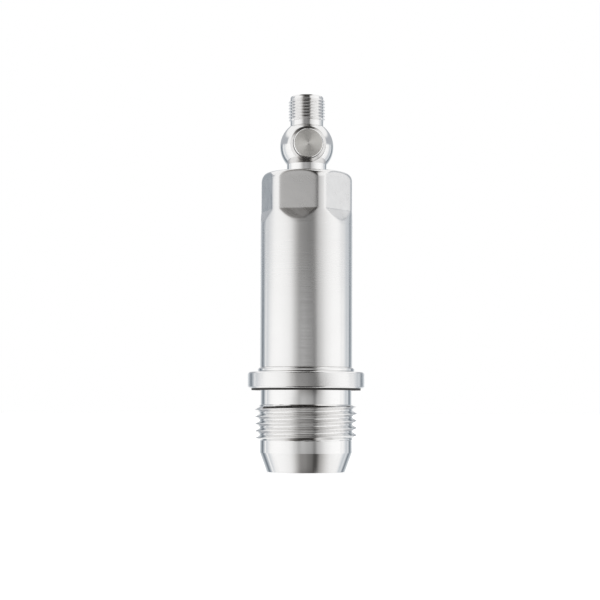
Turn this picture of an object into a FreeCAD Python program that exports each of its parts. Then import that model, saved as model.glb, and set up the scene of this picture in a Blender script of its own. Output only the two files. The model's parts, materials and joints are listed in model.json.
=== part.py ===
"""Hygienic pressure transmitter: a G1 process fitting with a flush ceramic cell, a round
housing with wrench flats, and a ball-shaped head with an M12 connector and a vent.

Millimetres. The origin is the centre of the end face that goes into the process, +Z runs
along the axis to the connector, and -Y points out of one wrench flat.
"""

import FreeCAD, Part
import math
import os
import re

import Sketcher

Vector = FreeCAD.Vector
Rotation = FreeCAD.Rotation

# Driving dimensions. Every one becomes a cell of the sheet, and the cell's alias is the name.
# A step is how much smaller in radius a part is than the one that it belongs to.
SIZES = {
    # radial clearance of a piece that slides into another
    "fit_gap": 0.1,
    # process fitting, outside, from the tip upwards
    "process_thread_radius": 16.6245,
    "process_thread_length": 12.0,
    "process_thread_chamfer": 1.3,
    "nose_step": 1.6745,
    "nose_length": 9.75,
    "cone_step": 2.25,
    "cone_height": 6.2,
    "relief_step": 1.8245,
    "relief_length": 5.25,
    "flange_overhang": 2.3755,
    "flange_thickness": 5.2,
    "flange_break": 0.45,
    "collar_overhang": 0.75,
    "collar_height": 1.4,
    "collar_break": 0.4,
    # flat ring under the flange
    "flange_seal_step": 1.25,
    "flange_seal_thickness": 0.65,
    # measuring cell behind the open mouth of the tip
    "cell_radius": 10.2,
    "cell_thickness": 5.0,
    "cell_boss_step": 1.7,
    "cell_recess": 0.3,
    "lip_step": 0.8,
    "lip_length": 3.0,
    "diaphragm_thickness": 0.5,
    "joint_thickness": 0.2,
    "joint_width": 1.3,
    "cell_seal_thickness": 1.2,
    "backing_ring_width": 2.0,
    "backing_ring_height": 2.0,
    "lock_step": 0.6,
    "lock_ring_width": 3.3,
    "lock_ring_height": 4.0,
    "spanner_slot_width": 2.0,
    "spanner_slot_depth": 1.5,
    "cell_pin_radius": 0.35,
    "cell_pin_length": 4.0,
    "cell_pin_inset": 3.5,
    # spigot that carries the housing, with its round seal
    "spigot_wall": 2.5,
    "spigot_length": 7.0,
    "spigot_groove_depth": 1.3,
    "spigot_groove_width": 2.2,
    "spigot_groove_rise": 2.2,
    # housing
    "housing_length": 63.55,
    "housing_wall": 1.5,
    "housing_break": 0.25,
    "shoulder_radius": 2.7,
    "roof_thickness": 3.5,
    "wrench_length": 18.0,
    "wrench_wall": 2.0,
    "flat_depth": 1.25,
    "flat_length": 12.7,
    "flat_runout": 3.5,
    # connector head: foot in the roof, neck, ball, threaded plug
    "foot_wall": 2.0,
    "foot_length": 6.0,
    "foot_nut_wall": 2.4,
    "foot_nut_height": 2.5,
    "neck_overhang": 0.9,
    "ball_radius": 8.75,
    "ball_rise": 8.85,
    "plug_length": 16.7,
    "plug_thread_radius": 6.0,
    "plug_thread_length": 7.25,
    "plug_thread_chamfer": 0.5,
    "plug_step": 0.6,
    "pilot_length": 1.15,
    "pilot_chamfer": 0.5,
    "socket_wall": 0.6,
    "socket_depth": 10.5,
    # vent in the side of the ball: its parts lie outwards from the leads' channel
    "vent_turn": 16.5,
    "vent_rise": 0.35,
    "vent_duct_radius": 1.5,
    "vent_duct_length": 1.4,
    "vent_cap_radius": 4.8,
    "vent_cap_thickness": 1.8,
    "vent_cap_break": 0.25,
    "vent_cap_hollow": 0.6,
    "vent_seat_gap": 0.15,
    "vent_bevel_drop": 1.4,
    "vent_bevel_slope": 0.55,
    "vent_membrane_radius": 3.0,
    "vent_membrane_thickness": 0.3,
    "vent_seal_width": 1.2,
    "vent_seal_thickness": 0.6,
    # keyed insulator, its contacts and the leads
    "insulator_wall": 0.6,
    "insulator_floor": 2.5,
    "insulator_recess": 0.6,
    "key_width": 1.0,
    "key_depth": 0.7,
    "contact_radius": 0.5,
    "contact_circle": 2.5,
    "contact_recess": 1.4,
    "contact_tail": 2.0,
    "contact_tip": 0.2,
    "carrier_seal_thickness": 0.8,
    "lead_radius": 0.55,
    "lead_clearance": 0.55,
    # board and what holds it
    "carrier_height": 5.0,
    "carrier_width": 3.8,
    "board_inset": 2.4,
    "board_thickness": 1.6,
    "board_engagement": 2.6,
    "ribbon_width": 6.0,
    "ribbon_thickness": 0.3,
    "ribbon_overlap": 3.0,
    "header_width": 7.0,
    "header_height": 4.0,
    "header_depth": 2.2,
    "header_drop": 5.0,
}

# Sizes that follow from the driving ones, as expressions of them. Heights count from the tip.
DERIVED = {
    "nose_radius": "process_thread_radius - nose_step",
    "tip_radius": "nose_radius - cone_step",
    "relief_radius": "process_thread_radius - relief_step",
    "flange_radius": "process_thread_radius + flange_overhang",
    "flange_seal_radius": "flange_radius - flange_seal_step",
    "thread_top": "nose_length + process_thread_length",
    "flange_base": "thread_top + relief_length",
    "flange_top": "flange_base + flange_thickness",
    "collar_top": "flange_top + collar_height",
    "spigot_top": "collar_top + spigot_length",
    "cell_boss_radius": "cell_radius - cell_boss_step",
    "cell_bore_radius": "cell_radius + fit_gap",
    "lip_radius": "cell_radius - lip_step",
    "lock_radius": "cell_radius + lock_step",
    "lock_bore_radius": "lock_radius + fit_gap",
    "spigot_radius": "lock_bore_radius + spigot_wall",
    "bore_radius": "spigot_radius + fit_gap",
    "housing_radius": "bore_radius + housing_wall",
    "collar_radius": "housing_radius + collar_overhang",
    "groove_floor": "spigot_radius - spigot_groove_depth",
    "groove_base": "collar_top + spigot_groove_rise",
    "groove_top": "groove_base + spigot_groove_width",
    "diaphragm_top": "cell_recess + diaphragm_thickness",
    "joint_top": "diaphragm_top + joint_thickness",
    "cell_shoulder": "lip_length + cell_seal_thickness",
    "cell_top": "cell_shoulder + cell_thickness",
    "cell_pin_circle": "cell_boss_radius - cell_pin_inset",
    "backing_top": "cell_top + backing_ring_height",
    "lock_seat": "backing_top - backing_ring_height / 4",
    "lock_top": "backing_top + lock_ring_height",
    "housing_top": "collar_top + housing_length",
    "roof_under": "housing_top - roof_thickness",
    "bore_step": "housing_top - wrench_length",
    "flat_distance": "housing_radius - flat_depth",
    "wrench_bore_radius": "flat_distance - wrench_wall",
    "flat_base": "housing_top - flat_length",
    "channel_radius": "contact_circle + lead_radius + lead_clearance",
    "foot_radius": "channel_radius + foot_wall",
    "foot_base": "housing_top - foot_length",
    "neck_radius": "foot_radius + neck_overhang",
    "ball_height": "housing_top + ball_rise",
    "ball_low": "ball_height - sqrt(ball_radius ^ 2 - neck_radius ^ 2)",
    "ball_high": "ball_height + sqrt(ball_radius ^ 2 - plug_radius ^ 2)",
    "head_top": "ball_height + plug_length",
    "plug_radius": "plug_thread_radius - plug_step",
    "plug_thread_top": "head_top - pilot_length",
    "plug_thread_base": "plug_thread_top - plug_thread_length",
    "socket_radius": "plug_radius - socket_wall",
    "insulator_base": "head_top - socket_depth",
    "insulator_top": "head_top - insulator_recess",
    "insulator_face": "insulator_base + insulator_floor",
    "insulator_radius": "socket_radius - fit_gap / 2",
    "insulator_bore": "insulator_radius - insulator_wall",
    "vent_height": "ball_height + vent_rise",
    "vent_seat_radius": "vent_cap_radius + vent_seat_gap",
    "vent_seat_floor": "channel_radius + vent_duct_length",
    "vent_seal_top": "vent_seat_floor + vent_seal_thickness",
    "vent_cap_face": "vent_seal_top + vent_cap_thickness",
    "vent_bevel_start": "vent_cap_face - vent_bevel_drop",
    "contact_base": "insulator_base - contact_tail",
    "contact_top": "head_top - contact_recess",
    "board_half_width": "spigot_radius - board_inset",
    "board_base": "spigot_top + carrier_height - board_engagement",
    "board_top": "bore_step - carrier_height + board_engagement",
    "board_face": "board_thickness / 2",
    "header_top": "board_top - header_drop",
    "header_base": "header_top - header_height",
}

doc = FreeCAD.newDocument("PressureTransmitter")
sheet = doc.addObject("Spreadsheet::Sheet", "Sizes")
for row, (name, value) in enumerate(SIZES.items(), start=1):
    sheet.set(f"A{row}", name)
    sheet.set(f"B{row}", str(value))
    sheet.setAlias(f"B{row}", name)
doc.recompute()


def bound(text):
    """Write an expression of named sizes as one of the sheet's cells."""
    def cell(match):
        word = match.group()
        if word in DERIVED:
            return f"({bound(DERIVED[word])})"
        return f"Sizes.{word}" if word in SIZES else word
    return re.sub(r"[a-z_]+", cell, text)


def number(text):
    """Value of an expression of named sizes."""
    return float(sheet.evalExpression(bound(text).replace("Sizes.", "")))


def new_body(name):
    body = doc.addObject("PartDesign::Body", name)
    body.Label = name
    return body


def origin_plane(body, role):
    return next(f for f in body.Origin.OriginFeatures if f.Role == role)


def new_sketch(body, name, plane, rise="0", turn=0):
    """Sketch on one of the body's origin planes, lifted off it and turned in it."""
    sketch = body.newObject("Sketcher::SketchObject", name)
    sketch.AttachmentSupport = [(origin_plane(body, plane), "")]
    sketch.MapMode = "FlatFace"
    sketch.AttachmentOffset = FreeCAD.Placement(Vector(), Rotation(Vector(0, 0, 1), turn))
    sketch.setExpression("AttachmentOffset.Base.z", bound(rise))
    return sketch


def pin_point(sketch, edge, end, across, along):
    """Hold the end of an edge at two distances from the sketch's origin."""
    for kind, text, axis in (("DistanceX", across, -2), ("DistanceY", along, -1)):
        if text == "0":
            sketch.addConstraint(Sketcher.Constraint("PointOnObject", edge, end, axis))
            continue
        rule = Sketcher.Constraint(kind, -1, 1, edge, end, number(text))
        sketch.setExpression(f"Constraints[{sketch.addConstraint(rule)}]", bound(text))


def draw_outline(sketch, outline):
    """Close a loop of points. A point with three more values ends an arc that starts there:
    its centre across, its centre along and its radius."""
    spots = [Vector(number(point[0]), number(point[1]), 0) for point in outline]
    count = len(outline)
    for index, point in enumerate(outline):
        start, finish = spots[index], spots[(index + 1) % count]
        if len(point) == 2:
            sketch.addGeometry(Part.LineSegment(start, finish), False)
            continue
        centre = Vector(number(point[2]), number(point[3]), 0)
        bulge = ((start + finish) / 2 - centre).normalize() * number(point[4])
        sketch.addGeometry(Part.Arc(start, centre + bulge, finish), False)
    # an arc keeps its ends in counter-clockwise order, so they are found by place
    ends = []
    for index in range(count):
        first = sketch.getPoint(index, 1)
        forward = first.distanceToPoint(spots[index]) < 1e-6
        ends.append((1, 2) if forward else (2, 1))
    for index in range(count):
        after = (index + 1) % count
        join = Sketcher.Constraint("Coincident", index, ends[index][1], after, ends[after][0])
        sketch.addConstraint(join)
    for index, point in enumerate(outline):
        pin_point(sketch, index, ends[index][0], point[0], point[1])
        if len(point) == 5:
            rule = sketch.addConstraint(Sketcher.Constraint("Radius", index, number(point[4])))
            sketch.setExpression(f"Constraints[{rule}]", bound(point[4]))


def draw_circle(sketch, across, along, radius):
    middle = Vector(number(across), number(along), 0)
    edge = sketch.addGeometry(Part.Circle(middle, Vector(0, 0, 1), number(radius)), False)
    rule = sketch.addConstraint(Sketcher.Constraint("Radius", edge, number(radius)))
    sketch.setExpression(f"Constraints[{rule}]", bound(radius))
    pin_point(sketch, edge, 3, across, along)


def turned(name, outline):
    """Body turned about its own Z axis from (radius, height) points."""
    body = new_body(name)
    sketch = new_sketch(body, f"{name}_outline", "XZ_Plane")
    draw_outline(sketch, outline)
    turning = body.newObject("PartDesign::Revolution", f"{name}_turning")
    turning.Profile = sketch
    turning.ReferenceAxis = (sketch, ["V_Axis"])
    turning.Angle = 360
    doc.recompute()
    return body


def ring(name, inner, outer, base, top):
    return turned(name, [(inner, base), (outer, base), (outer, top), (inner, top)])


def pocket(body, sketch, depth, outward=False):
    """Cut a sketch into the body, and make sure that it cut."""
    before = body.Shape.Volume
    cut = body.newObject("PartDesign::Pocket", f"{sketch.Name}_cut")
    cut.Profile = sketch
    cut.setExpression("Length", bound(depth))
    cut.Reversed = outward
    doc.recompute()
    if body.Shape.Volume > before - 1e-3:
        raise RuntimeError(f"{cut.Name} removes nothing")
    return cut


def repeat_round(body, feature, times):
    """Repeat a feature round the body's Z axis."""
    pattern = body.newObject("PartDesign::PolarPattern", f"{feature.Name}_pattern")
    pattern.Originals = [feature]
    pattern.Axis = (origin_plane(body, "Z_Axis"), [""])
    pattern.Angle = 360
    pattern.Occurrences = times
    body.Tip = pattern
    doc.recompute()
    return pattern


def place(piece, across="0", along="0", height="0"):
    for axis, text in zip("xyz", (across, along, height)):
        piece.setExpression(f"Placement.Base.{axis}", bound(text))


def face_vent(body):
    """Lay a body's own Z axis along the vent's axis, which leaves the ball sideways."""
    turn = Rotation(Vector(0, 0, 1), number("vent_turn")) * Rotation(Vector(1, 0, 0), 90)
    body.Placement.Rotation = turn
    place(body, height="vent_height")


def block(name, width, depth, height, across, along, base):
    """Rectangular block: its width is centred on across, its depth starts at along."""
    box = doc.addObject("Part::Box", name)
    box.Label = name
    for side, text in (("Length", width), ("Width", depth), ("Height", height)):
        box.setExpression(side, bound(text))
    place(box, f"{across} - ({width}) / 2", along, base)
    return box


def rod(name, radius, length):
    cylinder = doc.addObject("Part::Cylinder", name)
    cylinder.Label = name
    cylinder.setExpression("Radius", bound(radius))
    cylinder.setExpression("Height", bound(length))
    return cylinder


def process_fitting():
    """One turned piece: sealing cone, threaded stretch, flange, weld collar and spigot."""
    return turned("process_fitting", [
        ("lip_radius", "0"),
        ("tip_radius", "0"),
        ("nose_radius", "cone_height"),
        ("nose_radius", "nose_length"),
        ("process_thread_radius", "nose_length + process_thread_chamfer"),
        ("process_thread_radius", "thread_top - process_thread_chamfer"),
        ("relief_radius", "thread_top"),
        ("relief_radius", "flange_base"),
        ("flange_radius - flange_break", "flange_base"),
        ("flange_radius", "flange_base + flange_break"),
        ("flange_radius", "flange_top - flange_break"),
        ("flange_radius - flange_break", "flange_top"),
        ("collar_radius - collar_break", "flange_top"),
        ("collar_radius", "flange_top + collar_break"),
        ("collar_radius", "collar_top - collar_break"),
        ("collar_radius - collar_break", "collar_top"),
        ("spigot_radius", "collar_top"),
        ("spigot_radius", "groove_base"),
        ("groove_floor", "groove_base"),
        ("groove_floor", "groove_top"),
        ("spigot_radius", "groove_top"),
        ("spigot_radius", "spigot_top"),
        ("lock_bore_radius", "spigot_top"),
        ("lock_bore_radius", "lock_seat"),
        ("cell_bore_radius", "lock_seat"),
        ("cell_bore_radius", "lip_length"),
        ("lip_radius", "lip_length"),
    ])


def fitting_seals():
    ring("flange_seal", "relief_radius + fit_gap / 2", "flange_seal_radius",
         "flange_base - flange_seal_thickness", "flange_base")
    ring("body_seal", "groove_floor", "bore_radius - fit_gap / 2",
         "groove_base + fit_gap", "groove_top - fit_gap")


def measuring_cell():
    """Stepped ceramic cell, its thin diaphragm and the glass ring that joins the two."""
    turned("measuring_cell", [
        ("0", "joint_top"),
        ("cell_boss_radius", "joint_top"),
        ("cell_boss_radius", "cell_shoulder"),
        ("cell_radius", "cell_shoulder"),
        ("cell_radius", "cell_top"),
        ("0", "cell_top"),
    ])
    turned("cell_diaphragm", [
        ("0", "cell_recess"),
        ("cell_boss_radius", "cell_recess"),
        ("cell_boss_radius", "diaphragm_top"),
        ("0", "diaphragm_top"),
    ])
    ring("cell_joint_ring", "cell_boss_radius - joint_width", "cell_boss_radius",
         "diaphragm_top", "joint_top")
    turned("cell_seal", [
        ("cell_boss_radius + fit_gap", "cell_recess"),
        ("lip_radius - fit_gap", "cell_recess"),
        ("lip_radius - fit_gap", "lip_length"),
        ("cell_radius", "lip_length"),
        ("cell_radius", "cell_shoulder"),
        ("cell_boss_radius + fit_gap", "cell_shoulder"),
    ])
    ring("backing_ring", "cell_radius - backing_ring_width", "cell_radius",
         "cell_top", "backing_top")
    for index in range(3):
        pin = rod(f"cell_pin_{index + 1}", "cell_pin_radius", "cell_pin_length")
        angle = 90 + 120 * index
        place(pin, f"cell_pin_circle * cos({angle})", f"cell_pin_circle * sin({angle})",
              "cell_top")


def lock_ring():
    """Threaded ring behind the cell, with slots across its back for a pin spanner."""
    body = ring("lock_ring", "lock_radius - lock_ring_width", "lock_radius",
                "backing_top", "lock_top")
    sketch = new_sketch(body, "spanner_slot", "XY_Plane", "lock_top")
    half = "spanner_slot_width / 2"
    draw_outline(sketch, [
        (f"-{half}", "lock_radius - lock_ring_width * 1.5"),
        (half, "lock_radius - lock_ring_width * 1.5"),
        (half, "lock_radius * 1.2"),
        (f"-{half}", "lock_radius * 1.2"),
    ])
    repeat_round(body, pocket(body, sketch, "spanner_slot_depth"), 4)


def housing():
    """Round tube with a rounded shoulder, a thick wrench section and six milled flats."""
    body = turned("housing", [
        ("bore_radius", "collar_top"),
        ("housing_radius - housing_break", "collar_top"),
        ("housing_radius", "collar_top + housing_break"),
        ("housing_radius", "housing_top - shoulder_radius",
         "housing_radius - shoulder_radius", "housing_top - shoulder_radius",
         "shoulder_radius"),
        ("housing_radius - shoulder_radius", "housing_top"),
        ("foot_radius + fit_gap", "housing_top"),
        ("foot_radius + fit_gap", "roof_under"),
        ("wrench_bore_radius", "roof_under"),
        ("wrench_bore_radius", "bore_step"),
        ("bore_radius", "bore_step"),
    ])
    # the cutter comes in from outside: a flat, then a slope that runs out of the cylinder
    clear = "housing_radius * 1.1"
    slope = "flat_runout / (housing_radius - flat_distance)"
    sketch = new_sketch(body, "flat", "YZ_Plane", "-housing_radius")
    draw_outline(sketch, [
        ("flat_distance", "flat_base"),
        (clear, f"flat_base - ({clear} - flat_distance) * {slope}"),
        (clear, "housing_top * 1.05"),
        ("flat_distance", "housing_top * 1.05"),
    ])
    repeat_round(body, pocket(body, sketch, "housing_radius * 2", outward=True), 6)


def connector_head():
    """Foot through the roof, neck, ball with the vent's seat, and the plug's threaded sleeve."""
    body = turned("connector_head", [
        ("channel_radius", "foot_base"),
        ("foot_radius", "foot_base"),
        ("foot_radius", "housing_top"),
        ("neck_radius", "housing_top"),
        ("neck_radius", "ball_low", "0", "ball_height", "ball_radius"),
        ("plug_radius", "ball_high"),
        ("plug_radius", "plug_thread_base"),
        ("plug_thread_radius", "plug_thread_base + plug_thread_chamfer"),
        ("plug_thread_radius", "plug_thread_top - plug_thread_chamfer"),
        ("plug_radius", "plug_thread_top"),
        ("plug_radius", "head_top - pilot_chamfer"),
        ("plug_radius - pilot_chamfer / 2", "head_top"),
        ("socket_radius", "head_top"),
        ("socket_radius", "insulator_base"),
        ("channel_radius", "insulator_base"),
    ])
    # stepped and countersunk bore round the vent's axis, drawn in the level plane through it
    sketch = new_sketch(body, "vent_seat", "XY_Plane", "vent_height", turn=180)
    clear = "ball_radius * 1.2"
    draw_outline(sketch, [
        ("0", "0"),
        ("vent_duct_radius", "0"),
        ("vent_duct_radius", "vent_seat_floor"),
        ("vent_seat_radius", "vent_seat_floor"),
        ("vent_seat_radius", "vent_bevel_start"),
        ("ball_radius", "vent_bevel_start + (ball_radius - vent_seat_radius) * vent_bevel_slope"),
        ("ball_radius", clear),
        ("0", clear),
    ])
    before = body.Shape.Volume
    groove = body.newObject("PartDesign::Groove", "vent_seat_boring")
    groove.Profile = sketch
    groove.ReferenceAxis = (sketch, ["V_Axis"])
    groove.Angle = 360
    doc.recompute()
    if body.Shape.Volume > before - 1e-3:
        raise RuntimeError("the vent's seat removes nothing")
    body.setExpression("Placement.Rotation.Angle", bound("vent_turn"))


def head_nut():
    """Hexagon nut under the roof, round the head's foot."""
    prism = doc.addObject("Part::Prism", "head_nut_hexagon")
    prism.Polygon = 6
    prism.setExpression("Circumradius", bound("(foot_radius + foot_nut_wall) / cos(30)"))
    prism.setExpression("Height", bound("foot_nut_height"))
    hole = rod("head_nut_hole", "foot_radius + fit_gap", "foot_nut_height")
    nut = doc.addObject("Part::Cut", "head_nut")
    nut.Label = "head_nut"
    nut.Base = prism
    nut.Tool = hole
    for piece in (prism, hole):
        place(piece, height="roof_under - foot_nut_height")


def vent():
    """Cap over a membrane and its seal, in the seat on the side of the ball."""
    cap = turned("vent_cap", [
        ("0", "vent_seal_top + vent_cap_hollow"),
        ("vent_membrane_radius", "vent_seal_top + vent_cap_hollow"),
        ("vent_membrane_radius", "vent_seal_top"),
        ("vent_cap_radius", "vent_seal_top"),
        ("vent_cap_radius", "vent_cap_face - vent_cap_break"),
        ("vent_cap_radius - vent_cap_break", "vent_cap_face"),
        ("0", "vent_cap_face"),
    ])
    membrane = turned("vent_membrane", [
        ("0", "vent_seat_floor"),
        ("vent_membrane_radius", "vent_seat_floor"),
        ("vent_membrane_radius", "vent_seat_floor + vent_membrane_thickness"),
        ("0", "vent_seat_floor + vent_membrane_thickness"),
    ])
    seal = ring("vent_seal", "vent_membrane_radius + fit_gap",
                "vent_membrane_radius + fit_gap + vent_seal_width",
                "vent_seat_floor", "vent_seal_top")
    for body in (cap, membrane, seal):
        face_vent(body)


def contact_holes(body, top, depth):
    """Four holes for the contacts, from a height downwards."""
    hole = new_sketch(body, f"{body.Name}_hole", "XY_Plane", top)
    side = "contact_circle * cos(45)"
    draw_circle(hole, side, side, "contact_radius + fit_gap / 4")
    repeat_round(body, pocket(body, hole, depth), 4)


def contact_carrier():
    """Insulating cup in the plug, with a key along its wall and four holes in its floor."""
    body = turned("contact_carrier", [
        ("0", "insulator_base"),
        ("insulator_radius", "insulator_base"),
        ("insulator_radius", "insulator_top"),
        ("insulator_bore", "insulator_top"),
        ("insulator_bore", "insulator_face"),
        ("0", "insulator_face"),
    ])
    key = new_sketch(body, "key", "XY_Plane", "insulator_face")
    draw_outline(key, [
        ("-key_width / 2", "insulator_bore - key_depth"),
        ("key_width / 2", "insulator_bore - key_depth"),
        ("key_width / 2", "insulator_bore + insulator_wall / 2"),
        ("-key_width / 2", "insulator_bore + insulator_wall / 2"),
    ])
    rib = body.newObject("PartDesign::Pad", "key_rib")
    rib.Profile = key
    rib.setExpression("Length", bound("insulator_top - insulator_face"))
    doc.recompute()
    contact_holes(body, "insulator_face", "insulator_floor")


def contacts():
    """Four round contacts, the pad that seals them and the leads down to the board."""
    pad = turned("carrier_seal", [
        ("0", "insulator_base - carrier_seal_thickness"),
        ("channel_radius - fit_gap / 2", "insulator_base - carrier_seal_thickness"),
        ("channel_radius - fit_gap / 2", "insulator_base"),
        ("0", "insulator_base"),
    ])
    contact_holes(pad, "insulator_base", "carrier_seal_thickness")
    for index in range(4):
        angle = 45 + 90 * index
        spot = (f"contact_circle * cos({angle})", f"contact_circle * sin({angle})")
        contact = turned(f"contact_pin_{index + 1}", [
            ("0", "contact_base"),
            ("contact_radius", "contact_base"),
            ("contact_radius", "contact_top - contact_tip"),
            ("contact_radius - contact_tip", "contact_top"),
            ("0", "contact_top"),
        ])
        place(contact, *spot)
        lead = rod(f"lead_{index + 1}", "lead_radius", "contact_base - header_top")
        place(lead, *spot, "header_top")


def board_carriers():
    """Two rings that hold the board's ends: one on the spigot, one under the bore's step."""
    for name, base, slot in (("board_carrier_lower", "spigot_top", "board_base"),
                             ("board_carrier_upper", "bore_step - carrier_height",
                              "bore_step - carrier_height")):
        body = ring(name, "spigot_radius - carrier_width", "spigot_radius",
                    base, f"{base} + carrier_height")
        sketch = new_sketch(body, f"{name}_slot", "XY_Plane", slot)
        reach, half = "board_half_width + fit_gap", "board_face + fit_gap"
        draw_outline(sketch, [
            (f"-({reach})", f"-({half})"),
            (reach, f"-({half})"),
            (reach, half),
            (f"-({reach})", half),
        ])
        pocket(body, sketch, "board_engagement", outward=True)


def electronics():
    """Board, its components, the ribbon up from the cell and the headers for the leads."""
    block("main_board", "board_half_width * 2", "board_thickness", "board_top - board_base",
          "0", "-board_face", "board_base")
    block("cell_ribbon", "ribbon_width", "ribbon_thickness",
          "board_base + ribbon_overlap - cell_top",
          "0", "-board_face - ribbon_thickness", "cell_top")
    block("lead_header_front", "header_width", "header_depth", "header_height",
          "0", "-board_face - header_depth", "header_base")
    block("lead_header_back", "header_width", "header_depth", "header_height",
          "0", "board_face", "header_base")
    # name, width, depth, height, middle across, rise above the board's lower end, on the front
    for name, width, depth, height, across, rise, front in (
            ("processor_chip", 9, 1.4, 9, 0, 3.8, True),
            ("converter_chip", 3.5, 1.2, 5, -7, 3.8, True),
            ("reference_chip", 3, 1.0, 3, 6.5, 3.8, True),
            ("driver_chip", 4, 1.5, 5, 6, 11.5, False),
            ("inductor", 4, 3.0, 4, -6, 11.5, False)):
        along = f"-board_face - {depth}" if front else "board_face"
        block(name, str(width), str(depth), str(height), str(across), along,
              f"board_base + {rise}")
    for index, across in enumerate((-5, 5)):
        can = rod(f"capacitor_{index + 1}", "2.5", "5.4")
        can.Placement.Rotation = Rotation(Vector(1, 0, 0), -90)
        place(can, str(across), "board_face", "board_base + 7")


def check_and_write():
    """Stop on any failed object or bad shape, then write one file for each sub-part."""
    doc.recompute()
    for item in doc.Objects:
        if "Invalid" in item.State or "Error" in item.State:
            raise RuntimeError(f"{item.Name} failed: {item.State}")
    used = {piece.Name for cut in doc.Objects if cut.TypeId == "Part::Cut"
            for piece in (cut.Base, cut.Tool)}
    kinds = ("PartDesign::Body", "Part::Box", "Part::Cylinder", "Part::Cut")
    nodes = [item for item in doc.Objects if item.TypeId in kinds and item.Name not in used]
    for node in nodes:
        if node.Shape.isNull() or not node.Shape.isValid() or not node.Shape.Solids:
            raise RuntimeError(f"{node.Label} has no sound shape")
    os.makedirs("parts", exist_ok=True)
    for node in nodes:
        node.Shape.exportStep(f"parts/{node.Label}.step")


process_fitting()
fitting_seals()
measuring_cell()
lock_ring()
housing()
connector_head()
head_nut()
vent()
contact_carrier()
contacts()
board_carriers()
electronics()
check_and_write()
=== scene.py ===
"""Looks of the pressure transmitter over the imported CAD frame: helical threads, softened
wrench flats, the ball with its vent, and the finish of every piece."""

import json
import math

import bmesh
import bpy
import numpy as np
from mathutils import Matrix, Vector


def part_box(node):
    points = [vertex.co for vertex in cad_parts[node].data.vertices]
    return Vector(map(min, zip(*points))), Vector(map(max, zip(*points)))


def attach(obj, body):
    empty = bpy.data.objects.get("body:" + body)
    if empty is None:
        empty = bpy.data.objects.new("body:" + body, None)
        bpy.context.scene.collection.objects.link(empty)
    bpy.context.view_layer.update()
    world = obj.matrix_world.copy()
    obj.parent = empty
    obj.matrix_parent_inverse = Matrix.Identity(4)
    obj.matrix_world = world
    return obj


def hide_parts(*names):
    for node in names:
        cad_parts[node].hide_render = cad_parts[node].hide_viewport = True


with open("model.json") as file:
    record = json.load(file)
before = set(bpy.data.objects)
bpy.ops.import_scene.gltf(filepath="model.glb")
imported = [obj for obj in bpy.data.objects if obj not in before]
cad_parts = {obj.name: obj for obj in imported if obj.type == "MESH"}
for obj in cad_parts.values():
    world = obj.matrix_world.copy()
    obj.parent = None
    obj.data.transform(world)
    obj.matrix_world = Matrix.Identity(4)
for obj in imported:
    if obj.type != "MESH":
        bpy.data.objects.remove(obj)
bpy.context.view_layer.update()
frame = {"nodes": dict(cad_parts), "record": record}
MOUNTS = {mount["name"]: mount for mount in frame["record"]["mounts"]}
MM = 0.001


def ends(node):
    """Lowest and highest point of a node, in millimetres above the tip."""
    low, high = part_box(node)
    return low.z / MM, high.z / MM


def thread_span(mount, chamfer):
    """Heights of a thread's ends: the full-form stretch of its mount and a chamfer beyond."""
    middle = mount["pos_m"][2] / MM
    reach = mount["dims"]["length_mm"] / 2 + chamfer
    return middle - reach, middle + reach


# Heights in millimetres, from the frame and the steps between its pieces.
CELL_FLOOR, CELL_ROOF, CONE_TOP = 3.0, 10.7, 6.2
G1_LOW, G1_HIGH = thread_span(MOUNTS["process_thread"], 1.3)
FLANGE_BASE = ends("flange_seal")[1]
SPIGOT_TOP = ends("process_fitting")[1]
COLLAR_TOP, HOUSING_TOP = ends("housing")
FLANGE_TOP = COLLAR_TOP - 1.4
FLAT_BASE = HOUSING_TOP - 12.7
BORE_STEP = HOUSING_TOP - 18.0
ROOF_UNDER = HOUSING_TOP - 3.5
FOOT_BASE, HEAD_TOP = ends("connector_head")
SOCKET_FLOOR = HEAD_TOP - 10.5
M12_LOW, M12_HIGH = thread_span(MOUNTS["connector_thread"], 0.5)

# Radii in millimetres.
G1_RADIUS = MOUNTS["process_thread"]["dims"]["r_mm"]
M12_RADIUS = MOUNTS["connector_thread"]["dims"]["r_mm"]
NOSE, TIP, RELIEF, FLANGE, COLLAR = 14.95, 12.7, 14.8, 19.0, 15.75
TIP_BORE, CELL_BORE, BACK_BORE = 9.4, 10.3, 10.9
SPIGOT, BORE, WRENCH_BORE, TUBE, SHOULDER = 13.4, 13.5, 11.75, 15.0, 2.7
FOOT, NECK, BALL, PLUG, SOCKET, CHANNEL = 5.6, 6.5, 8.75, 5.4, 4.8, 3.6

# The six wrench flats: distance from the axis, height of the slope below, softness of edges.
FLAT_DISTANCE, FLAT_RUNOUT, FLAT_SOFTNESS = 13.62, 3.5, 0.17
FLAT_END = FLAT_BASE - FLAT_RUNOUT - 1.0

# The vent's axis, and the depths of its seat and disc as distances from the ball's own axis.
VENT_LOW, VENT_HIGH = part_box("vent_cap")
VENT_MIDDLE = (VENT_LOW + VENT_HIGH) / 2
VENT_HEIGHT = VENT_MIDDLE.z / MM
VENT_TURN = math.atan2(VENT_MIDDLE.x, -VENT_MIDDLE.y)
VENT_FLOOR, VENT_SEAT, VENT_BEVEL, VENT_FACE = 5.0, 5.6, 6.0, 7.4
VENT_BORE, VENT_DISC, MEMBRANE_BORE, MEMBRANE_DEPTH = 4.95, 4.8, 3.0, 0.6
BALL_HEIGHT = VENT_HEIGHT - 0.35

CENTRE = 1e-4                      # millimetres: a ring on the axis, which the weld closes
CAMERA_TURN = math.radians(12.0)   # from the front flat towards +X
CAMERA_REACH = 0.52                # metres from the axis


# ---------------------------------------------------------------- mesh helpers

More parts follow.
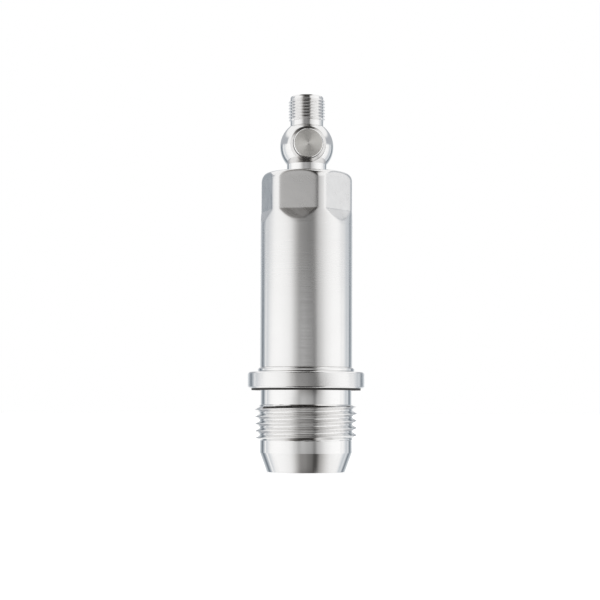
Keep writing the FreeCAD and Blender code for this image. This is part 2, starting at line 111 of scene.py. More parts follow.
def add_piece(name, mesh, slot, *nodes):
    """Object that rides on the root and stands for CAD nodes."""
    piece = bpy.data.objects.new(name, mesh)
    bpy.context.scene.collection.objects.link(piece)
    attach(piece, "root")
    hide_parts(*nodes)
    return piece


def mark_edges(bm, degrees=28.0):
    """Smooth faces, with every edge that turns by more than the angle kept sharp."""
    limit = math.radians(degrees)
    for face in bm.faces:
        face.smooth = True
    for edge in bm.edges:
        sharp = len(edge.link_faces) == 2 and edge.calc_face_angle(0.0) > limit
        edge.smooth = not sharp


def fillet(outline, steps=5):
    """Outline of (radius, height) points. A third number rounds the corner at that point."""
    points = [Vector(corner[:2]) for corner in outline]
    result = []
    for index, here in enumerate(points):
        size = outline[index][2] if len(outline[index]) > 2 else 0.0
        if not size:
            result.append(tuple(here))
            continue
        before = points[index - 1] - here
        after = points[(index + 1) % len(points)] - here
        half = before.angle(after) / 2
        reach = min(size / math.tan(half), before.length * 0.49, after.length * 0.49)
        size = reach * math.tan(half)
        bisector = (before.normalized() + after.normalized()).normalized()
        middle = here + bisector * (size / math.sin(half))
        start = here + before.normalized() * reach - middle
        finish = here + after.normalized() * reach - middle
        sweep = start.angle_signed(finish)
        for step in range(steps + 1):
            turn = Matrix.Rotation(-sweep * step / steps, 2)
            result.append(tuple(middle + turn @ start))
    return result


def arc(middle, radius, start, finish, steps):
    """Points on a circle in the (radius, height) plane, between two angles in degrees."""
    angles = np.radians(np.linspace(start, finish, steps + 1))
    return [(middle[0] + radius * math.cos(angle), middle[1] + radius * math.sin(angle))
            for angle in angles]


def thread_wave(phase, crest, root):
    """Share of the thread's depth at a phase of the pitch: a flat crest, a flat root and two
    straight flanks between them. crest and root are shares of the pitch."""
    flank = (1 - crest - root) / 2
    phase = phase % 1.0
    if phase < crest / 2 or phase > 1 - crest / 2:
        return 1.0
    if phase > 0.5:
        phase = 1 - phase
    return max(0.0, 1 - (phase - crest / 2) / flank)


def on_circle(bm, radius, height, angle):
    """Vertex at an angle round the axis, counted from the front towards +X."""
    return bm.verts.new((radius * math.sin(angle), -radius * math.cos(angle), height))


def revolve(bm, outline, segments, shape=None, closed=False):
    """Rings of vertices for an outline of (radius, height) points, joined by faces.
    shape(radius, height, angle) may pull a point towards the axis."""
    angles = np.linspace(0, 2 * math.pi, segments, endpoint=False)
    rings = []
    for radius, height in outline:
        reaches = [shape(radius, height, angle) if shape else radius for angle in angles]
        rings.append([on_circle(bm, reach, height, angle)
                      for reach, angle in zip(reaches, angles)])
    following = rings[1:] + rings[:1] if closed else rings[1:]
    for lower, upper in zip(rings, following):
        for i in range(segments):
            j = (i + 1) % segments
            bm.faces.new((lower[i], lower[j], upper[j], upper[i]))
    return rings


def helical_band(bm, low, high, pitch, depth, outer, envelope, crest, root, segments, rows,
                 phase):
    """Thread between two heights. Its rows follow the helix, so that crests and roots stay
    crisp, and envelope(height) caps the radius where the thread begins and ends."""
    turns = (high - low) / pitch + 1
    count = int(math.ceil(turns * rows))
    columns = []
    for i in range(segments):
        share = i / segments
        column = []
        for j in range(count + 1):
            height = low - pitch + (j / rows + share) * pitch
            held = min(max(height, low), high)
            radius = envelope(held)
            if low < height < high:
                wave = thread_wave(j / rows + phase, crest, root)
                radius = min(radius, outer - depth * (1 - wave))
            column.append(on_circle(bm, radius, held, 2 * math.pi * share))
        columns.append(column)
    for i in range(segments):
        here, there = columns[i], columns[(i + 1) % segments]
        shift = rows if i + 1 == segments else 0
        for j in range(count - shift):
            bm.faces.new((here[j], there[j + shift], there[j + shift + 1], here[j + 1]))


def count_open_edges(bm, name):
    """Print how many edges don't have two faces: none, in a closed mesh."""
    print(name, "open edges", sum(not edge.is_manifold for edge in bm.edges))


def finish_mesh(bm, name, weld=1e-4):
    """Weld, close and orient, mark the sharp edges and scale from millimetres to metres."""
    bmesh.ops.remove_doubles(bm, verts=bm.verts, dist=weld)
    bmesh.ops.dissolve_degenerate(bm, edges=bm.edges, dist=weld / 10)
    bmesh.ops.holes_fill(bm, edges=bm.edges, sides=4)
    bmesh.ops.recalc_face_normals(bm, faces=bm.faces)
    count_open_edges(bm, name)
    mark_edges(bm)
    bmesh.ops.scale(bm, vec=(MM, MM, MM), verts=bm.verts)
    mesh = bpy.data.meshes.new(name)
    bm.to_mesh(mesh)
    bm.free()
    return mesh


def threaded_solid(name, lower, upper, thread, segments):
    """Closed mesh: an outline up to the thread, the helical thread, and an outline that goes on
    from its top and comes back through the inside to the first point."""
    bm = bmesh.new()
    revolve(bm, lower, segments)
    helical_band(bm, segments=segments, **thread)
    revolve(bm, upper, segments)
    return finish_mesh(bm, name)


def thread_ends(low, below, high, above, slope, outer, groove=0.0):
    """Envelope of a thread that rises out of the radius below it, past a narrow groove, and
    sinks into the one above."""
    def envelope(height):
        entry = below + max(0.0, height - low - groove) * slope
        leave = above + max(0.0, high - height) * slope
        return min(entry, leave, outer)
    return envelope


# ---------------------------------------------------------------- process fitting

def make_fitting():
    """Cone, nose and G1 thread, relief neck, flange and collar, with the bores behind."""
    edge, weld_edge = 0.45, 0.4
    seam = 17.0    # where the outline begins and ends, inside the back bore
    lower = fillet([
        (BACK_BORE, seam), (BACK_BORE, CELL_ROOF), (CELL_BORE, CELL_ROOF),
        (CELL_BORE, CELL_FLOOR), (TIP_BORE, CELL_FLOOR), (TIP_BORE, 0.0, 0.15),
        (TIP, 0.0, 0.18), (NOSE, CONE_TOP, 0.12), (NOSE, G1_LOW),
    ])
    upper = fillet([
        (RELIEF, G1_HIGH), (RELIEF, FLANGE_BASE, 0.25), (FLANGE - edge, FLANGE_BASE, 0.15),
        (FLANGE, FLANGE_BASE + edge, 0.15), (FLANGE, FLANGE_TOP - edge, 0.15),
        (FLANGE - edge, FLANGE_TOP, 0.15), (COLLAR - weld_edge, FLANGE_TOP, 0.08),
        (COLLAR, FLANGE_TOP + weld_edge, 0.3), (COLLAR, COLLAR_TOP - weld_edge, 0.3),
        (COLLAR - weld_edge, COLLAR_TOP, 0.1), (SPIGOT, COLLAR_TOP), (SPIGOT, SPIGOT_TOP),
        (BACK_BORE, SPIGOT_TOP), (BACK_BORE, seam),
    ])
    thread = dict(low=G1_LOW, high=G1_HIGH, pitch=2.309, depth=1.479, outer=G1_RADIUS,
                  envelope=thread_ends(G1_LOW, NOSE, G1_HIGH, RELIEF, 2.4, G1_RADIUS, 0.45),
                  crest=0.09, root=0.16, rows=24, phase=0.325)
    return threaded_solid("fitting_body", lower, upper, thread, 256)


# ---------------------------------------------------------------- housing

def flatten(radius, height, angle):
    """Radius where the six flats and their sloping run-outs cut the outside, softened."""
    if height <= FLAT_END or radius <= FLAT_DISTANCE - 2:
        return radius
    slope = (TUBE - FLAT_DISTANCE) / FLAT_RUNOUT
    distance = FLAT_DISTANCE + max(0.0, FLAT_BASE - height) * slope
    side = (angle + math.pi / 6) % (math.pi / 3) - math.pi / 6
    plane = distance / math.cos(side)
    return (radius + plane - math.hypot(radius - plane, FLAT_SOFTNESS)) / 2


def make_housing():
    """Tube with a rounded shoulder and six flats, its roof and its stepped bore."""
    wall_top = HOUSING_TOP - SHOULDER
    rows = int((wall_top - FLAT_END) / 0.16)
    outside = [(BORE, COLLAR_TOP), (TUBE - 0.25, COLLAR_TOP), (TUBE, COLLAR_TOP + 0.25)]
    outside += [(TUBE, height) for height in np.linspace(COLLAR_TOP + 8, FLAT_END - 0.2, 6)]
    outside += [(TUBE, height) for height in np.linspace(FLAT_END, wall_top, rows)]
    outside += arc((TUBE - SHOULDER, wall_top), SHOULDER, 3.5, 90, 24)
    inside = [(FOOT + 0.1, HOUSING_TOP), (FOOT + 0.1, ROOF_UNDER), (WRENCH_BORE, ROOF_UNDER),
              (WRENCH_BORE, BORE_STEP), (BORE, BORE_STEP)]
    bm = bmesh.new()
    milled = bm.verts.layers.float.new("milled")
    rings = revolve(bm, outside + inside, 480, flatten, closed=True)
    for (radius, height), ring in zip(outside, rings):
        for vertex in ring:
            cut = radius - vertex.co.xy.length
            vertex[milled] = min(1.0, max(0.0, (cut - 0.07) / 0.05))
    return finish_mesh(bm, "housing_body")


# ---------------------------------------------------------------- connector head

def make_head():
    """Foot, neck, ball and plug with the M12 thread, and the socket inside."""
    edge = 0.45
    start = -math.degrees(math.acos(NECK / BALL))
    finish = math.degrees(math.acos(PLUG / BALL))
    lower = [(SOCKET, SOCKET_FLOOR), (CHANNEL, SOCKET_FLOOR), (CHANNEL, FOOT_BASE),
             (FOOT, FOOT_BASE), (FOOT, HOUSING_TOP), (NECK, HOUSING_TOP)]
    lower += arc((0, BALL_HEIGHT), BALL, start, finish, 64)
    lower += [(PLUG, M12_LOW)]
    upper = fillet([(PLUG, M12_HIGH), (PLUG, HEAD_TOP - edge, 0.1), (PLUG - 0.3, HEAD_TOP, 0.1),
                    (SOCKET, HEAD_TOP, 0.06), (SOCKET, SOCKET_FLOOR)])
    thread = dict(low=M12_LOW, high=M12_HIGH, pitch=1.0, depth=0.6, outer=M12_RADIUS,
                  envelope=thread_ends(M12_LOW, PLUG, M12_HIGH, PLUG, 1.2, M12_RADIUS),
                  crest=0.12, root=0.14, rows=16, phase=0.437)
    return threaded_solid("head_body", lower, upper, thread, 192)


def vent_frame():
    """Matrix of a piece that is turned about the vent's axis, its own Z."""
    turn = Matrix.Rotation(VENT_TURN, 4, "Z") @ Matrix.Rotation(math.pi / 2, 4, "X")
    return Matrix.Translation((0, 0, VENT_HEIGHT * MM)) @ turn


def vent_cutter():
    """Object with the form of the vent's bore: passage, seat and countersink."""
    passage, outside = 1.5, 10.5
    bevel_end = VENT_BEVEL + (BALL - VENT_BORE) * 0.55
    bm = bmesh.new()
    revolve(bm, [(CENTRE, 0.0), (passage, 0.0), (passage, VENT_FLOOR), (VENT_BORE, VENT_FLOOR),
                 (VENT_BORE, VENT_BEVEL), (BALL, bevel_end), (BALL, outside), (CENTRE, outside)],
            96)
    cutter = bpy.data.objects.new("vent_cutter", finish_mesh(bm, "vent_cutter", 1e-3))
    bpy.context.scene.collection.objects.link(cutter)
    cutter.matrix_world = vent_frame()
    return cutter


def cut_vent_seat(piece):
    """Bore the vent's seat into the ball, as a change to the piece's mesh."""
    cutter = vent_cutter()
    boolean = piece.modifiers.new("seat", "BOOLEAN")
    boolean.operation = "DIFFERENCE"
    boolean.solver = "EXACT"
    boolean.object = cutter
    bpy.context.view_layer.update()
    graph = bpy.context.evaluated_depsgraph_get()
    piece.data = bpy.data.meshes.new_from_object(piece.evaluated_get(graph))
    piece.modifiers.clear()
    bpy.data.objects.remove(cutter)
    bm = bmesh.new()
    bm.from_mesh(piece.data)
    bmesh.ops.dissolve_degenerate(bm, edges=bm.edges, dist=1e-7)
    count_open_edges(bm, "head_body after boring")
    mark_edges(bm)
    bm.to_mesh(piece.data)
    bm.free()


def make_vent_cap():
    """Face-turned disc with a small edge break, hollow behind for the membrane."""
    edge = 0.25
    roof = VENT_SEAT + MEMBRANE_DEPTH
    outline = fillet([(CENTRE, roof), (MEMBRANE_BORE, roof), (MEMBRANE_BORE, VENT_SEAT),
                      (VENT_DISC, VENT_SEAT), (VENT_DISC, VENT_FACE - edge, 0.08),
                      (VENT_DISC - edge, VENT_FACE, 0.08), (0.25, VENT_FACE),
                      (CENTRE, VENT_FACE - 0.03)])
    bm = bmesh.new()
    revolve(bm, outline, 128)
    return finish_mesh(bm, "vent_disc", 1e-3)


# ---------------------------------------------------------------- materials

STEEL = (0.885, 0.88, 0.875)
VENT_STEEL = (0.95, 0.935, 0.90)
SATIN_RISE = (0.040, 0.082)         # metres: between these heights the tube grows duller
SHOULDER_RISE = (0.0940, 0.0965)    # metres: between these the shoulder grows glossier


def new_material(name):
    """Material with its nodes, links and shader at hand."""
    material = bpy.data.materials.new(name)
    material.use_nodes = True
    nodes = material.node_tree.nodes
    return material, nodes, material.node_tree.links, nodes["Principled BSDF"]


def grain(nodes, links, scale, stretch=(1, 1, 1), turn=(0, 0, 0), detail=5.0):
    """Noise in the piece's own space, drawn out along the axes where stretch is small."""
    place = nodes.new("ShaderNodeTexCoord")
    rotation = nodes.new("ShaderNodeMapping")
    rotation.inputs["Rotation"].default_value = turn
    scaling = nodes.new("ShaderNodeMapping")
    scaling.inputs["Scale"].default_value = stretch
    noise = nodes.new("ShaderNodeTexNoise")
    noise.inputs["Scale"].default_value = scale
    noise.inputs["Detail"].default_value = detail
    links.new(place.outputs["Object"], rotation.inputs["Vector"])
    links.new(rotation.outputs["Vector"], scaling.inputs["Vector"])
    links.new(scaling.outputs["Vector"], noise.inputs["Vector"])
    return noise.outputs["Fac"]


def ranged(nodes, links, value, low, high, start=0.0, end=1.0, smooth=False):
    """Map a value from start..end to low..high."""
    node = nodes.new("ShaderNodeMapRange")
    node.interpolation_type = "SMOOTHSTEP" if smooth else "LINEAR"
    for name, number in (("From Min", start), ("From Max", end), ("To Min", low),
                         ("To Max", high)):
        node.inputs[name].default_value = number
    links.new(value, node.inputs["Value"])
    return node.outputs["Result"]


def mixed(nodes, links, share, first, second, blend="MIX"):
    """Blend two numbers or colours, each a socket or a constant. share may be a constant."""
    node = nodes.new("ShaderNodeMixRGB")
    node.blend_type = blend
    for name, value in (("Fac", share), ("Color1", first), ("Color2", second)):
        if isinstance(value, tuple):
            node.inputs[name].default_value = (*value, 1)
        elif isinstance(value, float):
            node.inputs[name].default_value = value
        else:
            links.new(value, node.inputs[name])
    return node.outputs["Color"]


def math_node(nodes, links, operation, *values):
    """Sum, product or the like of sockets and constants."""
    node = nodes.new("ShaderNodeMath")
    node.operation = operation
    for socket, value in zip(node.inputs, values):
        if isinstance(value, (int, float)):
            socket.default_value = value
        else:
            links.new(value, socket)
    return node.outputs["Value"]


def length_of(nodes, links, vector):
    """Length of a vector."""
    node = nodes.new("ShaderNodeVectorMath")
    node.operation = "LENGTH"
    links.new(vector, node.inputs[0])
    return node.outputs["Value"]


def own_point(nodes, links):
    """Coordinates of the shaded point in the piece's own space, by axis."""
    place = nodes.new("ShaderNodeTexCoord")
    split = nodes.new("ShaderNodeSeparateXYZ")
    links.new(place.outputs["Object"], split.inputs["Vector"])
    return split.outputs


def raised(nodes, links, shader, height, distance):
    """Bump of a distance in millimetres."""
    relief = nodes.new("ShaderNodeBump")
    relief.inputs["Distance"].default_value = distance * MM
    links.new(height, relief.inputs["Height"])
    links.new(relief.outputs["Normal"], shader.inputs["Normal"])


def shades(color, low, high):
    """Darker and lighter form of a colour."""
    return tuple(c * low for c in color), tuple(min(1.0, c * high) for c in color)


def turned_lines(nodes, links, shader, amount):
    """Gloss drawn out across the lines that turning leaves round the piece's own Z."""
    shader.inputs["Anisotropic"].default_value = amount
    shader.inputs["Anisotropic Rotation"].default_value = 0.25
    tangent = nodes.new("ShaderNodeTangent")
    tangent.direction_type = "RADIAL"
    tangent.axis = "Z"
    links.new(tangent.outputs["Tangent"], shader.inputs["Tangent"])


def metal(name, color, roughness, scale=400.0, spread=0.03, turned=0.0):
    """Turned or polished metal: fine lines round the axis vary its gloss and tone."""
    material, nodes, links, shader = new_material(name)
    shader.inputs["Metallic"].default_value = 1.0
    lines = grain(nodes, links, scale, (1, 1, 12))
    links.new(ranged(nodes, links, lines, roughness - spread, roughness + spread),
              shader.inputs["Roughness"])
    links.new(mixed(nodes, links, lines, *shades(color, 0.95, 1.02)),
              shader.inputs["Base Color"])
    if turned:
        turned_lines(nodes, links, shader, turned)
    return material


def satin_roughness(nodes, links, marks):
    """Roughness of the tube: more towards the top, less on the shoulder, uneven by its marks."""
    height = own_point(nodes, links)["Z"]
    gloss = ranged(nodes, links, height, 0.20, 0.31, *SATIN_RISE, True)
    uneven = ranged(nodes, links, marks, -0.05, 0.05, 0.25, 0.75)
    shoulder = ranged(nodes, links, height, 1.0, 0.4, *SHOULDER_RISE, True)
    return math_node(nodes, links, "MULTIPLY",
                     math_node(nodes, links, "ADD", gloss, uneven), shoulder)


def satin_colour(nodes, links, marks, milled):
    """Steel with a faint cloud and with marks that are bolder on the milled flats."""
    cloud = grain(nodes, links, 90.0, (1, 1, 1.6), detail=3.0)
    tone = mixed(nodes, links, cloud, *shades(STEEL, 0.97, 1.02))
    dull = mixed(nodes, links, milled, (0.95, 0.95, 0.95), (0.87, 0.87, 0.87))
    clear = mixed(nodes, links, milled, (1, 1, 1), (1.01, 1.01, 1.01))
    fine = mixed(nodes, links, marks, dull, clear)
    return mixed(nodes, links, 1.0, tone, fine, "MULTIPLY")


def satin_housing():
    """Satin tube with fine turning lines, and flats with the streaks of their milling."""
    material, nodes, links, shader = new_material("steel_satin")
    shader.inputs["Metallic"].default_value = 1.0
    turned_lines(nodes, links, shader, 0.7)
    attribute = nodes.new("ShaderNodeAttribute")
    attribute.attribute_name = "milled"
    milled = attribute.outputs["Fac"]
    lines = grain(nodes, links, 330.0, (0.25, 0.25, 9))
    streaks = grain(nodes, links, 380.0, (1, 1, 0.10), (0.5, 0.9, 0.3))
    bold = ranged(nodes, links, streaks, 0.0, 1.0, 0.2, 0.8)
    marks = mixed(nodes, links, milled, lines, bold)
    links.new(satin_roughness(nodes, links, marks), shader.inputs["Roughness"])
    links.new(satin_colour(nodes, links, marks, milled), shader.inputs["Base Color"])
    raised(nodes, links, shader, marks, 0.004)
    return material


def faced_disc():
    """End face turned on a lathe: rings round the disc's own Z spread its highlight."""
    material, nodes, links, shader = new_material("steel_vent")
    shader.inputs["Metallic"].default_value = 1.0
    turned_lines(nodes, links, shader, 0.55)
    point = own_point(nodes, links)
    flat = nodes.new("ShaderNodeCombineXYZ")
    for axis in "XY":
        links.new(point[axis], flat.inputs[axis])
    noise = nodes.new("ShaderNodeTexNoise")
    noise.noise_dimensions = "1D"
    noise.inputs["Scale"].default_value = 6000.0
    noise.inputs["Detail"].default_value = 3.0
    links.new(length_of(nodes, links, flat.outputs["Vector"]), noise.inputs["W"])
    rings = noise.outputs["Fac"]
    links.new(ranged(nodes, links, rings, 0.48, 0.60), shader.inputs["Roughness"])
    links.new(mixed(nodes, links, rings, *shades(VENT_STEEL, 0.96, 1.03)),
              shader.inputs["Base Color"])
    raised(nodes, links, shader, rings, 0.003)
    return material


def plain(name, color, roughness):
    """Plastic, rubber or ceramic with a fine even grain."""
    spread = 0.06
    material, nodes, links, shader = new_material(name)
    specks = grain(nodes, links, 900.0)
    links.new(mixed(nodes, links, specks, *shades(color, 0.85, 1.1)),
              shader.inputs["Base Color"])
    links.new(ranged(nodes, links, specks, roughness - spread, roughness + spread),
              shader.inputs["Roughness"])
    raised(nodes, links, shader, specks, 0.01)
    return material


MATERIALS = {
    "steel_polished": metal("steel_polished", STEEL, 0.10, 300),
    "steel_turned": metal("steel_turned", STEEL, 0.26, 300, turned=0.95),
    "steel_satin": satin_housing(),
    "steel_vent": faced_disc(),
    "steel_inner": metal("steel_inner", (0.62, 0.62, 0.62), 0.35, spread=0.05),
    "elastomer": plain("elastomer", (0.030, 0.027, 0.025), 0.5),
    "ptfe": plain("ptfe", (0.86, 0.86, 0.84), 0.45),
    "ceramic": plain("ceramic", (0.86, 0.83, 0.77), 0.35),
    "joint_glass": plain("joint_glass", (0.5, 0.5, 0.46), 0.2),
    "insulator": plain("insulator", (0.03, 0.03, 0.033), 0.45),
    "contact_gold": metal("contact_gold", (0.90, 0.66, 0.30), 0.18),
    "carrier_plastic": plain("carrier_plastic", (0.75, 0.75, 0.72), 0.5),
    "board": plain("board", (0.03, 0.20, 0.08), 0.4),
    "chip": plain("chip", (0.04, 0.04, 0.042), 0.5),
    "capacitor": metal("capacitor", (0.75, 0.76, 0.78), 0.25),
    "ribbon": plain("ribbon", (0.62, 0.33, 0.05), 0.3),
    "membrane": plain("membrane", (0.86, 0.86, 0.86), 0.8),
    "lead_brown": plain("lead_brown", (0.16, 0.07, 0.03), 0.35),
    "lead_white": plain("lead_white", (0.82, 0.82, 0.80), 0.35),
    "lead_blue": plain("lead_blue", (0.03, 0.09, 0.40), 0.35),
    "lead_black": plain("lead_black", (0.02, 0.02, 0.02), 0.35),
}


# ---------------------------------------------------------------- the pieces

def dress(piece, *names):
    """Give a piece its materials, of which its faces wear the first."""
    piece.data.materials.clear()
    for name in names:
        piece.data.materials.append(MATERIALS[name])


def second_material(piece, chosen):
    """Let the faces that chosen(face) picks wear the piece's second material."""
    for face in piece.data.polygons:
        if chosen(face):
            face.material_index = 1


def on_rim(face):
    """Whether a face of the fitting lies on the flange's outer rim."""
    middle = face.center / MM
    level = FLANGE_BASE + 0.3 < middle.z < FLANGE_TOP - 0.3
    return level and middle.xy.length > FLANGE - 0.3


def on_side(face):
    """Whether a face of the vent disc looks sideways."""
    return abs(face.normal.z) < 0.9


fitting = add_piece("fitting_body", make_fitting(), "steel_polished", "process_fitting")
housing = add_piece("housing_body", make_housing(), "steel_satin", "housing")
head = add_piece("head_body", make_head(), "steel_polished", "connector_head")
cut_vent_seat(head)
disc = add_piece("vent_disc", make_vent_cap(), "steel_vent", "vent_cap")
disc.matrix_world = vent_frame()

for entry in frame["record"]["subparts"]:
    for slot in frame["nodes"][entry["node"]].material_slots:
        slot.material = MATERIALS[entry["material_slot"]]
dress(fitting, "steel_polished", "steel_turned")
dress(housing, "steel_satin")
dress(head, "steel_polished")
dress(disc, "steel_vent", "steel_polished")
second_material(fitting, on_rim)
second_material(disc, on_side)


# ---------------------------------------------------------------- studio

def direction(azimuth):
    """Level direction that leaves the axis at an angle from the camera's, to its right."""
    angle = CAMERA_TURN + azimuth
    return Vector((math.sin(angle), -math.cos(angle), 0))


# Brightness of the light tent, as (degrees, brightness) from left to right. In front the angle
# is measured off the plane through the camera and the axis, at three heights: level with the
# object, towards the table, and towards the roof or straight down. Behind, it is measured off
# the same plane round the axis. The gap that the camera looks through is dark, and so are two
# gaps behind.
TENT_LEVEL = [
    (-90, 1.07), (-80, 1.10), (-66, 1.09), (-56, 1.05), (-45, 1.00), (-38, 0.92), (-33, 0.82),
    (-29, 0.71), (-24, 0.63), (-19, 0.50), (-16, 0.47), (-9, 0.53), (-3, 0.51), (3, 0.455),
    (12, 0.41), (17, 0.35), (20, 0.27), (23, 0.27), (29, 0.51), (34, 0.59), (40, 0.71),
    (48, 0.88), (56, 0.98), (68, 1.09), (90, 1.12),
]
TENT_LOW = [
    (-60, 1.07), (-48, 1.03), (-36, 0.95), (-30, 0.83), (-25, 0.69), (-21, 0.54), (-17, 0.40),
    (-12, 0.28), (0, 0.25), (4, 0.205), (14, 0.145), (18, 0.07), (23, 0.07), (27, 0.19),
    (30, 0.35), (35, 0.48), (46, 0.80), (52, 0.95), (65, 1.08), (90, 1.12),
]
TENT_HIGH = [
    (-60, 1.02), (-42, 0.98), (-33, 0.72), (-26, 0.32), (-19, 0.14), (-11, 0.045), (14, 0.04),
    (18, 0.16), (22, 0.70), (27, 0.98), (45, 1.04), (90, 1.08),
]
TENT_BEHIND = [
    (-90, 1.07), (-81, 1.03), (-73, 0.90), (-68, 0.80), (-64, 0.72), (-60, 1.00), (-58, 1.00),
    (-54, 0.68), (-48, 0.42), (-43, 0.22), (-39, 0.22), (-33, 0.46), (-23, 0.70), (-10, 1.00),
    (5, 1.00), (20, 0.74), (31, 0.46), (38, 0.25), (42, 0.25), (47, 0.66), (52, 0.80),
    (58, 0.64), (63, 0.76), (68, 0.90), (74, 1.02), (78, 1.05), (81, 0.98), (84, 1.06),
    (87, 1.13), (90, 1.13),
]
TENT_BAND = (0.47, 0.49, 0.52)     # behind, above the level part
WHITE = (1.0, 1.0, 1.0)


def tent_ramp(nodes, links, angle, stops, tint=0.0):
    """Brightness by angle. A positive tint makes its dark parts bluer, a negative one warmer."""
    ramp = nodes.new("ShaderNodeValToRGB")
    elements = ramp.color_ramp.elements
    elements.remove(elements[-1])
    for index, (degrees, value) in enumerate(stops):
        spot = (degrees + 90) / 180
        element = elements[0] if index == 0 else elements.new(spot)
        element.position = spot
        blue = tint * max(0.0, 1 - value)
        element.color = (value * (1 - blue), value, value * (1 + blue), 1)
    share = ranged(nodes, links, angle, 0.0, 1.0, -math.pi / 2, math.pi / 2)
    links.new(share, ramp.inputs["Fac"])
    return ramp.outputs["Color"]


def tent_front(nodes, links, right, height):
    """The half of the tent that the camera stands in, with its plane dark gap."""
    square = math_node(nodes, links, "MULTIPLY", right, right)
    rest = math_node(nodes, links, "SQRT", math_node(nodes, links, "SUBTRACT", 1.0, square))
    angle = math_node(nodes, links, "ARCTAN2", right, rest)
    low = ranged(nodes, links, height, 1.0, 0.0, -0.16, -0.04, True)
    high = ranged(nodes, links, height, 0.0, 1.0, 0.13, 0.22, True)
    deep = ranged(nodes, links, height, 1.0, 0.0, -0.86, -0.70, True)
    level = mixed(nodes, links, low, tent_ramp(nodes, links, angle, TENT_LEVEL),
                  tent_ramp(nodes, links, angle, TENT_LOW, -0.03))
    return mixed(nodes, links, math_node(nodes, links, "MAXIMUM", high, deep), level,
                 tent_ramp(nodes, links, angle, TENT_HIGH, -0.05))


def tent_behind(nodes, links, right, back, height):
    """The other half: gaps at the level of the object, a grey band above, white where steep."""
    angle = math_node(nodes, links, "ARCTAN2", right, back)
    above = ranged(nodes, links, height, 0.0, 1.0, 0.14, 0.24, True)
    slope = math_node(nodes, links, "ABSOLUTE", height)
    steep = ranged(nodes, links, slope, 0.0, 1.0, 0.42, 0.58, True)
    band = mixed(nodes, links, above, tent_ramp(nodes, links, angle, TENT_BEHIND, 0.16),
                 TENT_BAND)
    return mixed(nodes, links, steep, band, WHITE)


def make_world():
    """White where the camera looks at it. Reflections and the light on the object come from
    the light tent, whose dark gaps draw the dark strips on the steel."""
    world = bpy.data.worlds.new("studio")
    bpy.context.scene.world = world
    world.use_nodes = True
    nodes, links = world.node_tree.nodes, world.node_tree.links
    nodes.clear()
    place = nodes.new("ShaderNodeTexCoord")
    turn = nodes.new("ShaderNodeVectorRotate")
    turn.rotation_type = "Z_AXIS"
    turn.inputs["Angle"].default_value = -CAMERA_TURN
    links.new(place.outputs["Generated"], turn.inputs["Vector"])
    split = nodes.new("ShaderNodeSeparateXYZ")
    links.new(turn.outputs["Vector"], split.inputs["Vector"])
    right, back, height = (split.outputs[axis] for axis in "XYZ")
    rear = ranged(nodes, links, back, 0.0, 1.0, 0.0, 0.12, True)
    tent = mixed(nodes, links, rear, tent_front(nodes, links, right, height),
                 tent_behind(nodes, links, right, back, height))
    path = nodes.new("ShaderNodeLightPath")
    background = nodes.new("ShaderNodeBackground")
    links.new(mixed(nodes, links, path.outputs["Is Camera Ray"], tent, WHITE),
              background.inputs["Color"])
    output = nodes.new("ShaderNodeOutputWorld")
    links.new(background.outputs["Background"], output.inputs["Surface"])


def floor_material():
    """Pale cloth. For the camera it gains a glow that grows with the distance from the object,
    up to the white of the background. From below it is clear."""
    glow_near, glow_far = 0.42, 1.0
    fade_start, fade_end = 0.1, 0.5    # metres from the axis
    material = bpy.data.materials.new("floor")
    material.use_nodes = True
    nodes, links = material.node_tree.nodes, material.node_tree.links
    nodes.clear()
    place = nodes.new("ShaderNodeTexCoord")
    strength = ranged(nodes, links, length_of(nodes, links, place.outputs["Object"]),
                      glow_near, glow_far, fade_start, fade_end, True)
    path = nodes.new("ShaderNodeLightPath")
    cloth = nodes.new("ShaderNodeBsdfDiffuse")
    cloth.inputs["Color"].default_value = (0.9, 0.9, 0.9, 1)
    glow = nodes.new("ShaderNodeEmission")
    links.new(math_node(nodes, links, "MULTIPLY", path.outputs["Is Camera Ray"], strength),
              glow.inputs["Strength"])
    both = nodes.new("ShaderNodeAddShader")
    links.new(cloth.outputs["BSDF"], both.inputs[0])
    links.new(glow.outputs["Emission"], both.inputs[1])
    side = nodes.new("ShaderNodeNewGeometry")
    below = nodes.new("ShaderNodeBsdfTransparent")
    either = nodes.new("ShaderNodeMixShader")
    links.new(side.outputs["Backfacing"], either.inputs["Fac"])
    links.new(both.outputs["Shader"], either.inputs[1])
    links.new(below.outputs["BSDF"], either.inputs[2])
    output = nodes.new("ShaderNodeOutputMaterial")
    links.new(either.outputs["Shader"], output.inputs["Surface"])
    return material


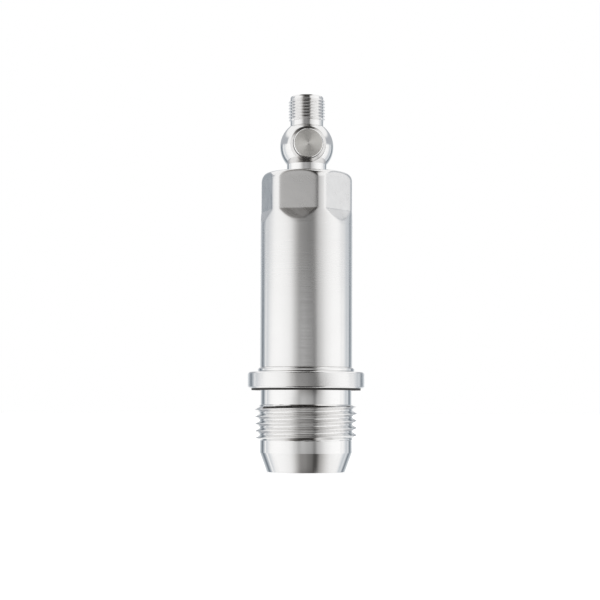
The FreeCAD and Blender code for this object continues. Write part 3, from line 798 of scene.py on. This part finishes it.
def make_floor():
    """Round floor that keeps the object's shadow. The steel mirrors the tent in its place."""
    bm = bmesh.new()
    bmesh.ops.create_circle(bm, cap_ends=True, segments=96, radius=3.0)
    mesh = bpy.data.meshes.new("floor")
    bm.to_mesh(mesh)
    bm.free()
    mesh.materials.append(floor_material())
    floor = bpy.data.objects.new("floor", mesh)
    bpy.context.scene.collection.objects.link(floor)
    floor.visible_glossy = False


def make_softbox(name, azimuth, height, reach, size, watts):
    """Weak lamp aimed at the middle of the object, which the steel doesn't mirror."""
    light = bpy.data.lights.new(name, "AREA")
    light.shape = "RECTANGLE"
    light.size, light.size_y = size
    light.energy = watts
    box = bpy.data.objects.new(name, light)
    bpy.context.scene.collection.objects.link(box)
    spot = direction(math.radians(azimuth)) * reach + Vector((0, 0, height))
    box.location = spot
    aim = Vector((0, 0, 0.06)) - spot
    box.rotation_mode = "QUATERNION"
    box.rotation_quaternion = aim.to_track_quat("-Z", "Y")
    box.visible_glossy = False


def make_camera():
    """Level with the thread, tilted up a little, as close as the thread lines' curve shows."""
    height = 21.6 * MM
    pitch, yaw, roll = math.radians(3.76), math.radians(0.226), math.radians(0.19)
    data = bpy.data.cameras.new("camera")
    data.sensor_width = 36.0
    data.lens = 95.8
    data.clip_start, data.clip_end = 0.01, 20
    camera = bpy.data.objects.new("camera", data)
    bpy.context.scene.collection.objects.link(camera)
    camera.location = direction(0) * CAMERA_REACH + Vector((0, 0, height))
    level = Matrix.Rotation(yaw, 3, "Z") @ -direction(0)
    aim = level * math.cos(pitch) + Vector((0, 0, math.sin(pitch)))
    lean = Matrix.Rotation(roll, 3, "Z").to_quaternion()
    camera.rotation_mode = "QUATERNION"
    camera.rotation_quaternion = aim.to_track_quat("-Z", "Y") @ lean
    bpy.context.scene.camera = camera


make_world()
make_floor()
make_softbox("softbox_left", -65, 0.35, 0.9, (0.7, 0.9), 3.0)
make_softbox("softbox_right", 62, 0.30, 0.9, (0.7, 0.9), 2.5)
make_camera()
bpy.context.scene.view_settings.view_transform = "Standard"
